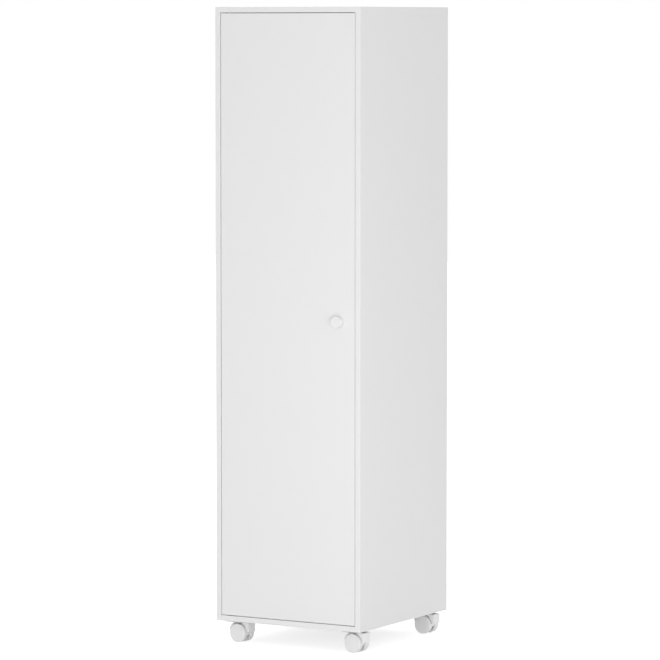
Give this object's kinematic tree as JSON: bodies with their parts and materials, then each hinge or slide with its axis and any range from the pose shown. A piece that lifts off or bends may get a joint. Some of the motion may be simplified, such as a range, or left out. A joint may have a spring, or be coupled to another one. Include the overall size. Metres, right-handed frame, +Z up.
{
  "type": "laundry cabinet",
  "caption": "Tall narrow white cabinet on hooded casters, with one inset door, round knob, shelves and a hanging laundry bag inside.",
  "frame": {"origin": "centre of the overall outline, at floor level", "axes": "+Z up, +Y towards the back, +X towards the knob side, to the right of someone facing the door"},
  "size_m": [0.354, 0.3954, 1.3565],
  "materials": {
    "lacquer": "white satin lacquer on fibreboard",
    "back_board": "white foil on hardboard",
    "beech": "raw",
    "nickelled_steel": "nickelled",
    "zinc_steel": "zinc plated",
    "painted_steel": "white powder coat",
    "caster_plastic": "white moulded",
    "nylon": "natural",
    "magnet": "ferrite",
    "canvas": "cotton canvas"
  },
  "bodies": {
    "cabinet": {"side_panel_left": "lacquer", "side_panel_right": "lacquer", "top_panel": "lacquer", "bottom_panel": "lacquer", "back_panel": "back_board", "spline_bottom_left": "beech", "spline_bottom_right": "beech", "spline_top_left": "beech", "spline_top_right": "beech", "shelf_upper": "lacquer", "shelf_middle": "lacquer", "shelf_pin_upper_front_left": "nickelled_steel", "shelf_pin_upper_front_right": "nickelled_steel", "shelf_pin_upper_rear_left": "nickelled_steel", "shelf_pin_upper_rear_right": "nickelled_steel", "shelf_pin_middle_front_left": "nickelled_steel", "shelf_pin_middle_front_right": "nickelled_steel", "shelf_pin_middle_rear_left": "nickelled_steel", "shelf_pin_middle_rear_right": "nickelled_steel", "pivot_socket_bottom": "nickelled_steel", "pivot_socket_top": "nickelled_steel", "pivot_washer": "nylon", "catch_housing": "caster_plastic", "catch_magnet": "magnet", "bag_rail_left": "painted_steel", "bag_rail_right": "painted_steel", "bag_frame": "nickelled_steel", "laundry_bag": "canvas", "caster_plate_front_left": "zinc_steel", "caster_plate_front_right": "zinc_steel", "caster_plate_rear_left": "zinc_steel", "caster_plate_rear_right": "zinc_steel", "kingpin_front_left": "nickelled_steel", "kingpin_front_right": "nickelled_steel", "kingpin_rear_left": "nickelled_steel", "kingpin_rear_right": "nickelled_steel"},
    "door": {"door_panel": "lacquer", "door_knob": "lacquer", "knob_screw": "nickelled_steel", "door_pivot_bottom": "nickelled_steel", "door_pivot_top": "nickelled_steel", "strike_plate": "zinc_steel", "strike_screw": "nickelled_steel"},
    "swivel_front_left": {"caster_hood_front_left": "caster_plastic", "caster_axle_front_left": "nickelled_steel"},
    "wheel_outer_front_left": {"wheel_outer_front_left": "caster_plastic"},
    "wheel_inner_front_left": {"wheel_inner_front_left": "caster_plastic"},
    "swivel_front_right": {"caster_hood_front_right": "caster_plastic", "caster_axle_front_right": "nickelled_steel"},
    "wheel_outer_front_right": {"wheel_outer_front_right": "caster_plastic"},
    "wheel_inner_front_right": {"wheel_inner_front_right": "caster_plastic"},
    "swivel_rear_left": {"caster_hood_rear_left": "caster_plastic", "caster_axle_rear_left": "nickelled_steel"},
    "wheel_outer_rear_left": {"wheel_outer_rear_left": "caster_plastic"},
    "wheel_inner_rear_left": {"wheel_inner_rear_left": "caster_plastic"},
    "swivel_rear_right": {"caster_hood_rear_right": "caster_plastic", "caster_axle_rear_right": "nickelled_steel"},
    "wheel_outer_rear_right": {"wheel_outer_rear_right": "caster_plastic"},
    "wheel_inner_rear_right": {"wheel_inner_rear_right": "caster_plastic"}
  },
  "joints": [
    {"name": "door_hinge", "type": "hinge", "parent": "cabinet", "child": "door", "pos_m": [-0.153, -0.17635, 0.0595], "axis": [0, 0, -1], "range_deg": [0, 110]},
    {"name": "swivel_front_left", "type": "hinge", "parent": "cabinet", "child": "swivel_front_left", "pos_m": [-0.142, -0.14435, 0.04], "axis": [0, 0, 1], "continuous": true},
    {"name": "spin_outer_front_left", "type": "hinge", "parent": "swivel_front_left", "child": "wheel_outer_front_left", "pos_m": [-0.13604, -0.14504, 0.02], "axis": [0.1149, 0.9934, 0], "continuous": true},
    {"name": "spin_inner_front_left", "type": "hinge", "parent": "swivel_front_left", "child": "wheel_inner_front_left", "pos_m": [-0.13604, -0.14504, 0.02], "axis": [0.1149, 0.9934, 0], "continuous": true},
    {"name": "swivel_front_right", "type": "hinge", "parent": "cabinet", "child": "swivel_front_right", "pos_m": [0.142, -0.14435, 0.04], "axis": [0, 0, 1], "continuous": true},
    {"name": "spin_outer_front_right", "type": "hinge", "parent": "swivel_front_right", "child": "wheel_outer_front_right", "pos_m": [0.14796, -0.14504, 0.02], "axis": [0.1149, 0.9934, 0], "continuous": true},
    {"name": "spin_inner_front_right", "type": "hinge", "parent": "swivel_front_right", "child": "wheel_inner_front_right", "pos_m": [0.14796, -0.14504, 0.02], "axis": [0.1149, 0.9934, 0], "continuous": true},
    {"name": "swivel_rear_left", "type": "hinge", "parent": "cabinet", "child": "swivel_rear_left", "pos_m": [-0.142, 0.15965, 0.04], "axis": [0, 0, 1], "continuous": true},
    {"name": "spin_outer_rear_left", "type": "hinge", "parent": "swivel_rear_left", "child": "wheel_outer_rear_left", "pos_m": [-0.13604, 0.15896, 0.02], "axis": [0.1149, 0.9934, 0], "continuous": true},
    {"name": "spin_inner_rear_left", "type": "hinge", "parent": "swivel_rear_left", "child": "wheel_inner_rear_left", "pos_m": [-0.13604, 0.15896, 0.02], "axis": [0.1149, 0.9934, 0], "continuous": true},
    {"name": "swivel_rear_right", "type": "hinge", "parent": "cabinet", "child": "swivel_rear_right", "pos_m": [0.142, 0.15965, 0.04], "axis": [0, 0, 1], "continuous": true},
    {"name": "spin_outer_rear_right", "type": "hinge", "parent": "swivel_rear_right", "child": "wheel_outer_rear_right", "pos_m": [0.14796, 0.15896, 0.02], "axis": [0.1149, 0.9934, 0], "continuous": true},
    {"name": "spin_inner_rear_right", "type": "hinge", "parent": "swivel_rear_right", "child": "wheel_inner_rear_right", "pos_m": [0.14796, 0.15896, 0.02], "axis": [0.1149, 0.9934, 0], "continuous": true}
  ]
}
